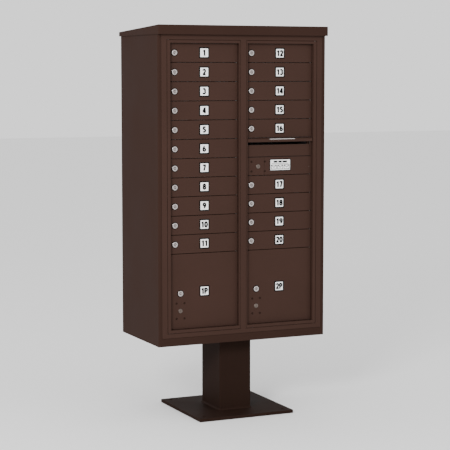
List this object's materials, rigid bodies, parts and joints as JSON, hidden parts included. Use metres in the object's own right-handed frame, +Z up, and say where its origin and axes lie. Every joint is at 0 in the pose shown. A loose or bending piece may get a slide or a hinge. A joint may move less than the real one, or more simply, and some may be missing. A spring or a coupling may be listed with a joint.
{
  "type": "cluster mailbox unit",
  "caption": "Pedestal-mounted cluster mailbox: two columns of locking mailbox doors over parcel lockers in a sheet-steel cabinet with a sloped roof and hooded mail slot.",
  "frame": {"origin": "centre of the base plate's underside, on the floor", "axes": "+X to the right across the front, +Y to the back, +Z up"},
  "size_m": [0.874, 0.538, 1.8539],
  "materials": {
    "bronze_coat": "satin",
    "pedestal_coat": "satin",
    "sheet_aluminium": "satin",
    "zinc_steel": "satin",
    "arrow_steel": "satin",
    "lock_nickel": "gloss"
  },
  "bodies": {
    "cabinet": {"pedestal": "pedestal_coat", "cabinet_shell": "bronze_coat", "cabinet_floor_pan": "bronze_coat", "roof_cap": "bronze_coat", "front_trim_frame": "bronze_coat", "master_hinge_rods": "zinc_steel", "compartment_rack": "sheet_aluminium"},
    "left_master": {"left_master_frame": "bronze_coat", "left_door_hinge_rod": "zinc_steel"},
    "right_master": {"right_master_frame": "bronze_coat", "right_door_hinge_rod": "zinc_steel", "outgoing_mail_panel": "bronze_coat"},
    "master_lock": {"master_arrow_lock": "arrow_steel"},
    "latch": {"master_latch_bar": "zinc_steel"},
    "parcel_1": {"parcel_door_1": "bronze_coat"},
    "parcel_lock_1_plug": {"parcel_lock_1": "lock_nickel"},
    "parcel_arrow_lock_1_plug": {"parcel_arrow_lock_1": "arrow_steel"},
    "parcel_2": {"parcel_door_2": "bronze_coat"},
    "parcel_lock_2_plug": {"parcel_lock_2": "lock_nickel"},
    "parcel_arrow_lock_2_plug": {"parcel_arrow_lock_2": "arrow_steel"},
    "box_01": {"door_01": "bronze_coat"},
    "plug_01": {"lock_01": "lock_nickel"},
    "box_02": {"door_02": "bronze_coat"},
    "plug_02": {"lock_02": "lock_nickel"},
    "box_03": {"door_03": "bronze_coat"},
    "plug_03": {"lock_03": "lock_nickel"},
    "box_04": {"door_04": "bronze_coat"},
    "plug_04": {"lock_04": "lock_nickel"},
    "box_05": {"door_05": "bronze_coat"},
    "plug_05": {"lock_05": "lock_nickel"},
    "box_06": {"door_06": "bronze_coat"},
    "plug_06": {"lock_06": "lock_nickel"},
    "box_07": {"door_07": "bronze_coat"},
    "plug_07": {"lock_07": "lock_nickel"},
    "box_08": {"door_08": "bronze_coat"},
    "plug_08": {"lock_08": "lock_nickel"},
    "box_09": {"door_09": "bronze_coat"},
    "plug_09": {"lock_09": "lock_nickel"},
    "box_10": {"door_10": "bronze_coat"},
    "plug_10": {"lock_10": "lock_nickel"},
    "box_11": {"door_11": "bronze_coat"},
    "plug_11": {"lock_11": "lock_nickel"},
    "box_12": {"door_12": "bronze_coat"},
    "plug_12": {"lock_12": "lock_nickel"},
    "box_13": {"door_13": "bronze_coat"},
    "plug_13": {"lock_13": "lock_nickel"},
    "box_14": {"door_14": "bronze_coat"},
    "plug_14": {"lock_14": "lock_nickel"},
    "box_15": {"door_15": "bronze_coat"},
    "plug_15": {"lock_15": "lock_nickel"},
    "box_16": {"door_16": "bronze_coat"},
    "plug_16": {"lock_16": "lock_nickel"},
    "box_17": {"door_17": "bronze_coat"},
    "plug_17": {"lock_17": "lock_nickel"},
    "box_18": {"door_18": "bronze_coat"},
    "plug_18": {"lock_18": "lock_nickel"},
    "box_19": {"door_19": "bronze_coat"},
    "plug_19": {"lock_19": "lock_nickel"},
    "box_20": {"door_20": "bronze_coat"},
    "plug_20": {"lock_20": "lock_nickel"}
  },
  "joints": [
    {"name": "left_master_swing", "type": "hinge", "parent": "cabinet", "child": "left_master", "pos_m": [-0.379, -0.1915, 1.1], "axis": [0, 0, -1], "range_deg": [0, 90]},
    {"name": "right_master_swing", "type": "hinge", "parent": "cabinet", "child": "right_master", "pos_m": [0.379, -0.1915, 1.1], "axis": [0, 0, 1], "range_deg": [0, 90]},
    {"name": "master_lock_turn", "type": "hinge", "parent": "right_master", "child": "master_lock", "pos_m": [0.0857, -0.1975, 1.19187], "axis": [0, 1, 0], "range_deg": [0, 90]},
    {"name": "latch_slide", "type": "slide", "parent": "right_master", "child": "latch", "axis": [-1, 0, 0], "range_m": [0, 0.016]},
    {"name": "parcel_1_swing", "type": "hinge", "parent": "left_master", "child": "parcel_1", "pos_m": [-0.0283, -0.1755, 0.6158], "axis": [0, 0, 1], "range_deg": [0, 90]},
    {"name": "parcel_2_swing", "type": "hinge", "parent": "right_master", "child": "parcel_2", "pos_m": [0.364, -0.1755, 0.6158], "axis": [0, 0, 1], "range_deg": [0, 90]},
    {"name": "door_01_swing", "type": "hinge", "parent": "left_master", "child": "box_01", "pos_m": [-0.0283, -0.1755, 1.72705], "axis": [0, 0, 1], "range_deg": [0, 90]},
    {"name": "door_02_swing", "type": "hinge", "parent": "left_master", "child": "box_02", "pos_m": [-0.0283, -0.1755, 1.63815], "axis": [0, 0, 1], "range_deg": [0, 90]},
    {"name": "door_03_swing", "type": "hinge", "parent": "left_master", "child": "box_03", "pos_m": [-0.0283, -0.1755, 1.54925], "axis": [0, 0, 1], "range_deg": [0, 90]},
    {"name": "door_04_swing", "type": "hinge", "parent": "left_master", "child": "box_04", "pos_m": [-0.0283, -0.1755, 1.46035], "axis": [0, 0, 1], "range_deg": [0, 90]},
    {"name": "door_05_swing", "type": "hinge", "parent": "left_master", "child": "box_05", "pos_m": [-0.0283, -0.1755, 1.37145], "axis": [0, 0, 1], "range_deg": [0, 90]},
    {"name": "door_06_swing", "type": "hinge", "parent": "left_master", "child": "box_06", "pos_m": [-0.0283, -0.1755, 1.28255], "axis": [0, 0, 1], "range_deg": [0, 90]},
    {"name": "door_07_swing", "type": "hinge", "parent": "left_master", "child": "box_07", "pos_m": [-0.0283, -0.1755, 1.19365], "axis": [0, 0, 1], "range_deg": [0, 90]},
    {"name": "door_08_swing", "type": "hinge", "parent": "left_master", "child": "box_08", "pos_m": [-0.0283, -0.1755, 1.10475], "axis": [0, 0, 1], "range_deg": [0, 90]},
    {"name": "door_09_swing", "type": "hinge", "parent": "left_master", "child": "box_09", "pos_m": [-0.0283, -0.1755, 1.01585], "axis": [0, 0, 1], "range_deg": [0, 90]},
    {"name": "door_10_swing", "type": "hinge", "parent": "left_master", "child": "box_10", "pos_m": [-0.0283, -0.1755, 0.92695], "axis": [0, 0, 1], "range_deg": [0, 90]},
    {"name": "door_11_swing", "type": "hinge", "parent": "left_master", "child": "box_11", "pos_m": [-0.0283, -0.1755, 0.83805], "axis": [0, 0, 1], "range_deg": [0, 90]},
    {"name": "door_12_swing", "type": "hinge", "parent": "right_master", "child": "box_12", "pos_m": [0.364, -0.1755, 1.72705], "axis": [0, 0, 1], "range_deg": [0, 90]},
    {"name": "door_13_swing", "type": "hinge", "parent": "right_master", "child": "box_13", "pos_m": [0.364, -0.1755, 1.63815], "axis": [0, 0, 1], "range_deg": [0, 90]},
    {"name": "door_14_swing", "type": "hinge", "parent": "right_master", "child": "box_14", "pos_m": [0.364, -0.1755, 1.54925], "axis": [0, 0, 1], "range_deg": [0, 90]},
    {"name": "door_15_swing", "type": "hinge", "parent": "right_master", "child": "box_15", "pos_m": [0.364, -0.1755, 1.46035], "axis": [0, 0, 1], "range_deg": [0, 90]},
    {"name": "door_16_swing", "type": "hinge", "parent": "right_master", "child": "box_16", "pos_m": [0.364, -0.1755, 1.37145], "axis": [0, 0, 1], "range_deg": [0, 90]},
    {"name": "door_17_swing", "type": "hinge", "parent": "right_master", "child": "box_17", "pos_m": [0.364, -0.1755, 1.10475], "axis": [0, 0, 1], "range_deg": [0, 90]},
    {"name": "door_18_swing", "type": "hinge", "parent": "right_master", "child": "box_18", "pos_m": [0.364, -0.1755, 1.01585], "axis": [0, 0, 1], "range_deg": [0, 90]},
    {"name": "door_19_swing", "type": "hinge", "parent": "right_master", "child": "box_19", "pos_m": [0.364, -0.1755, 0.92695], "axis": [0, 0, 1], "range_deg": [0, 90]},
    {"name": "door_20_swing", "type": "hinge", "parent": "right_master", "child": "box_20", "pos_m": [0.364, -0.1755, 0.83805], "axis": [0, 0, 1], "range_deg": [0, 90]},
    {"name": "parcel_lock_1_turn", "type": "hinge", "parent": "parcel_1", "child": "parcel_lock_1_plug", "pos_m": [-0.316, -0.1975, 0.6065], "axis": [0, 1, 0], "range_deg": [0, 90]},
    {"name": "parcel_arrow_lock_1_turn", "type": "hinge", "parent": "parcel_1", "child": "parcel_arrow_lock_1_plug", "pos_m": [-0.316, -0.1975, 0.5245], "axis": [0, 1, 0], "range_deg": [0, 90]},
    {"name": "parcel_lock_2_turn", "type": "hinge", "parent": "parcel_2", "child": "parcel_lock_2_plug", "pos_m": [0.0763, -0.1975, 0.6065], "axis": [0, 1, 0], "range_deg": [0, 90]},
    {"name": "parcel_arrow_lock_2_turn", "type": "hinge", "parent": "parcel_2", "child": "parcel_arrow_lock_2_plug", "pos_m": [0.0763, -0.1975, 0.5245], "axis": [0, 1, 0], "range_deg": [0, 90]},
    {"name": "lock_01_turn", "type": "hinge", "parent": "box_01", "child": "plug_01", "pos_m": [-0.343, -0.1975, 1.72705], "axis": [0, 1, 0], "range_deg": [0, 90]},
    {"name": "lock_02_turn", "type": "hinge", "parent": "box_02", "child": "plug_02", "pos_m": [-0.343, -0.1975, 1.63815], "axis": [0, 1, 0], "range_deg": [0, 90]},
    {"name": "lock_03_turn", "type": "hinge", "parent": "box_03", "child": "plug_03", "pos_m": [-0.343, -0.1975, 1.54925], "axis": [0, 1, 0], "range_deg": [0, 90]},
    {"name": "lock_04_turn", "type": "hinge", "parent": "box_04", "child": "plug_04", "pos_m": [-0.343, -0.1975, 1.46035], "axis": [0, 1, 0], "range_deg": [0, 90]},
    {"name": "lock_05_turn", "type": "hinge", "parent": "box_05", "child": "plug_05", "pos_m": [-0.343, -0.1975, 1.37145], "axis": [0, 1, 0], "range_deg": [0, 90]},
    {"name": "lock_06_turn", "type": "hinge", "parent": "box_06", "child": "plug_06", "pos_m": [-0.343, -0.1975, 1.28255], "axis": [0, 1, 0], "range_deg": [0, 90]},
    {"name": "lock_07_turn", "type": "hinge", "parent": "box_07", "child": "plug_07", "pos_m": [-0.343, -0.1975, 1.19365], "axis": [0, 1, 0], "range_deg": [0, 90]},
    {"name": "lock_08_turn", "type": "hinge", "parent": "box_08", "child": "plug_08", "pos_m": [-0.343, -0.1975, 1.10475], "axis": [0, 1, 0], "range_deg": [0, 90]},
    {"name": "lock_09_turn", "type": "hinge", "parent": "box_09", "child": "plug_09", "pos_m": [-0.343, -0.1975, 1.01585], "axis": [0, 1, 0], "range_deg": [0, 90]},
    {"name": "lock_10_turn", "type": "hinge", "parent": "box_10", "child": "plug_10", "pos_m": [-0.343, -0.1975, 0.92695], "axis": [0, 1, 0], "range_deg": [0, 90]},
    {"name": "lock_11_turn", "type": "hinge", "parent": "box_11", "child": "plug_11", "pos_m": [-0.343, -0.1975, 0.83805], "axis": [0, 1, 0], "range_deg": [0, 90]},
    {"name": "lock_12_turn", "type": "hinge", "parent": "box_12", "child": "plug_12", "pos_m": [0.0493, -0.1975, 1.72705], "axis": [0, 1, 0], "range_deg": [0, 90]},
    {"name": "lock_13_turn", "type": "hinge", "parent": "box_13", "child": "plug_13", "pos_m": [0.0493, -0.1975, 1.63815], "axis": [0, 1, 0], "range_deg": [0, 90]},
    {"name": "lock_14_turn", "type": "hinge", "parent": "box_14", "child": "plug_14", "pos_m": [0.0493, -0.1975, 1.54925], "axis": [0, 1, 0], "range_deg": [0, 90]},
    {"name": "lock_15_turn", "type": "hinge", "parent": "box_15", "child": "plug_15", "pos_m": [0.0493, -0.1975, 1.46035], "axis": [0, 1, 0], "range_deg": [0, 90]},
    {"name": "lock_16_turn", "type": "hinge", "parent": "box_16", "child": "plug_16", "pos_m": [0.0493, -0.1975, 1.37145], "axis": [0, 1, 0], "range_deg": [0, 90]},
    {"name": "lock_17_turn", "type": "hinge", "parent": "box_17", "child": "plug_17", "pos_m": [0.0493, -0.1975, 1.10475], "axis": [0, 1, 0], "range_deg": [0, 90]},
    {"name": "lock_18_turn", "type": "hinge", "parent": "box_18", "child": "plug_18", "pos_m": [0.0493, -0.1975, 1.01585], "axis": [0, 1, 0], "range_deg": [0, 90]},
    {"name": "lock_19_turn", "type": "hinge", "parent": "box_19", "child": "plug_19", "pos_m": [0.0493, -0.1975, 0.92695], "axis": [0, 1, 0], "range_deg": [0, 90]},
    {"name": "lock_20_turn", "type": "hinge", "parent": "box_20", "child": "plug_20", "pos_m": [0.0493, -0.1975, 0.83805], "axis": [0, 1, 0], "range_deg": [0, 90]}
  ],
  "couplings": [
    {"joint": "latch_slide", "follows": "master_lock_turn", "m_per_rad": 0.009231}
  ]
}
